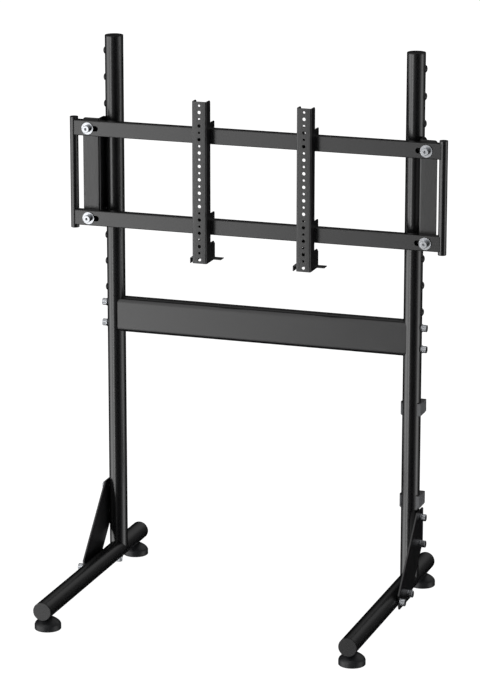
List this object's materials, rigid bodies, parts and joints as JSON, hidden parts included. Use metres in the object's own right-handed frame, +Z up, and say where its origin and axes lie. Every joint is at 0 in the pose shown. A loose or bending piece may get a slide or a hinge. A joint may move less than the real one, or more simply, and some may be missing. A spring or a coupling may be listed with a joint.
{
  "type": "monitor floor stand",
  "caption": "Free-standing floor stand for a large monitor: round posts on long foot tubes, a crossbar, and hook-on screen arms that slide along two rails and latch.",
  "frame": {"origin": "on the floor, under the middle of the stand's box", "axes": "+Z up, the screen hangs on the -Y side, +X to the right for someone who looks at the screen"},
  "size_m": [1.1604, 0.813, 1.658],
  "materials": {
    "tube_coat": "satin black powder coat with a fine grain",
    "sheet_coat": "satin black powder coat with a fine grain, on bent sheet",
    "bolt_zinc": "bright zinc plating",
    "cap_plastic": "satin moulded plastic",
    "plug_plastic": "smooth domed plastic",
    "foot_nylon": "moulded nylon bell on a threaded stud",
    "clip_plastic": "moulded clip plastic"
  },
  "bodies": {
    "frame": {"post_left": "tube_coat", "post_right": "tube_coat", "post_cap_left": "cap_plastic", "post_cap_right": "cap_plastic", "plug_left_1": "plug_plastic", "plug_left_2": "plug_plastic", "plug_left_3": "plug_plastic", "plug_left_8": "plug_plastic", "plug_left_9": "plug_plastic", "plug_right_1": "plug_plastic", "plug_right_2": "plug_plastic", "plug_right_3": "plug_plastic", "plug_right_8": "plug_plastic", "plug_right_9": "plug_plastic", "foot_tube_left": "tube_coat", "foot_tube_right": "tube_coat", "foot_cap_left_front": "cap_plastic", "foot_cap_left_rear": "cap_plastic", "foot_cap_right_front": "cap_plastic", "foot_cap_right_rear": "cap_plastic", "gusset_left": "sheet_coat", "gusset_right": "sheet_coat", "gusset_bolt_left_post_upper": "bolt_zinc", "gusset_bolt_left_post_lower": "bolt_zinc", "gusset_bolt_left_foot_rear": "bolt_zinc", "gusset_bolt_left_foot_front": "bolt_zinc", "gusset_bolt_right_post_upper": "bolt_zinc", "gusset_bolt_right_post_lower": "bolt_zinc", "gusset_bolt_right_foot_rear": "bolt_zinc", "gusset_bolt_right_foot_front": "bolt_zinc", "crossbar": "tube_coat", "crossbar_bolt_left_upper": "bolt_zinc", "crossbar_bolt_left_lower": "bolt_zinc", "crossbar_bolt_right_upper": "bolt_zinc", "crossbar_bolt_right_lower": "bolt_zinc", "bracket_left": "sheet_coat", "bracket_right": "sheet_coat", "bracket_bolt_left_upper": "bolt_zinc", "bracket_bolt_left_lower": "bolt_zinc", "bracket_bolt_right_upper": "bolt_zinc", "bracket_bolt_right_lower": "bolt_zinc", "rail_upper": "tube_coat", "rail_lower": "tube_coat", "rail_bolt_upper_left": "bolt_zinc", "rail_bolt_upper_right": "bolt_zinc", "rail_bolt_lower_left": "bolt_zinc", "rail_bolt_lower_right": "bolt_zinc", "end_channel_left": "tube_coat", "end_channel_right": "tube_coat", "cable_clip_upper": "clip_plastic", "cable_clip_lower": "clip_plastic"},
    "arm_left": {"arm_left": "sheet_coat"},
    "arm_right": {"arm_right": "sheet_coat"},
    "latch_left": {"latch_left": "sheet_coat"},
    "latch_right": {"latch_right": "sheet_coat"},
    "foot_left_front": {"leveller_left_front": "foot_nylon"},
    "foot_left_rear": {"leveller_left_rear": "foot_nylon"},
    "foot_right_front": {"leveller_right_front": "foot_nylon"},
    "foot_right_rear": {"leveller_right_rear": "foot_nylon"}
  },
  "joints": [
    {"name": "arm_left_slide", "type": "slide", "parent": "frame", "child": "arm_left", "axis": [1, 0, 0], "range_m": [-0.2179, 0.1071]},
    {"name": "arm_right_slide", "type": "slide", "parent": "frame", "child": "arm_right", "axis": [1, 0, 0], "range_m": [-0.1135, 0.2115]},
    {"name": "latch_left_hinge", "type": "hinge", "parent": "arm_left", "child": "latch_left", "pos_m": [-0.1571, 0.16115, 1.04605], "axis": [1, 0, 0], "range_deg": [0, 25]},
    {"name": "latch_right_hinge", "type": "hinge", "parent": "arm_right", "child": "latch_right", "pos_m": [0.1635, 0.16115, 1.04605], "axis": [1, 0, 0], "range_deg": [0, 25]},
    {"name": "foot_left_front_screw", "type": "slide", "parent": "frame", "child": "foot_left_front", "axis": [0, 0, -1], "range_m": [0, 0.02]},
    {"name": "foot_left_rear_screw", "type": "slide", "parent": "frame", "child": "foot_left_rear", "axis": [0, 0, -1], "range_m": [0, 0.02]},
    {"name": "foot_right_front_screw", "type": "slide", "parent": "frame", "child": "foot_right_front", "axis": [0, 0, -1], "range_m": [0, 0.02]},
    {"name": "foot_right_rear_screw", "type": "slide", "parent": "frame", "child": "foot_right_rear", "axis": [0, 0, -1], "range_m": [0, 0.02]}
  ]
}
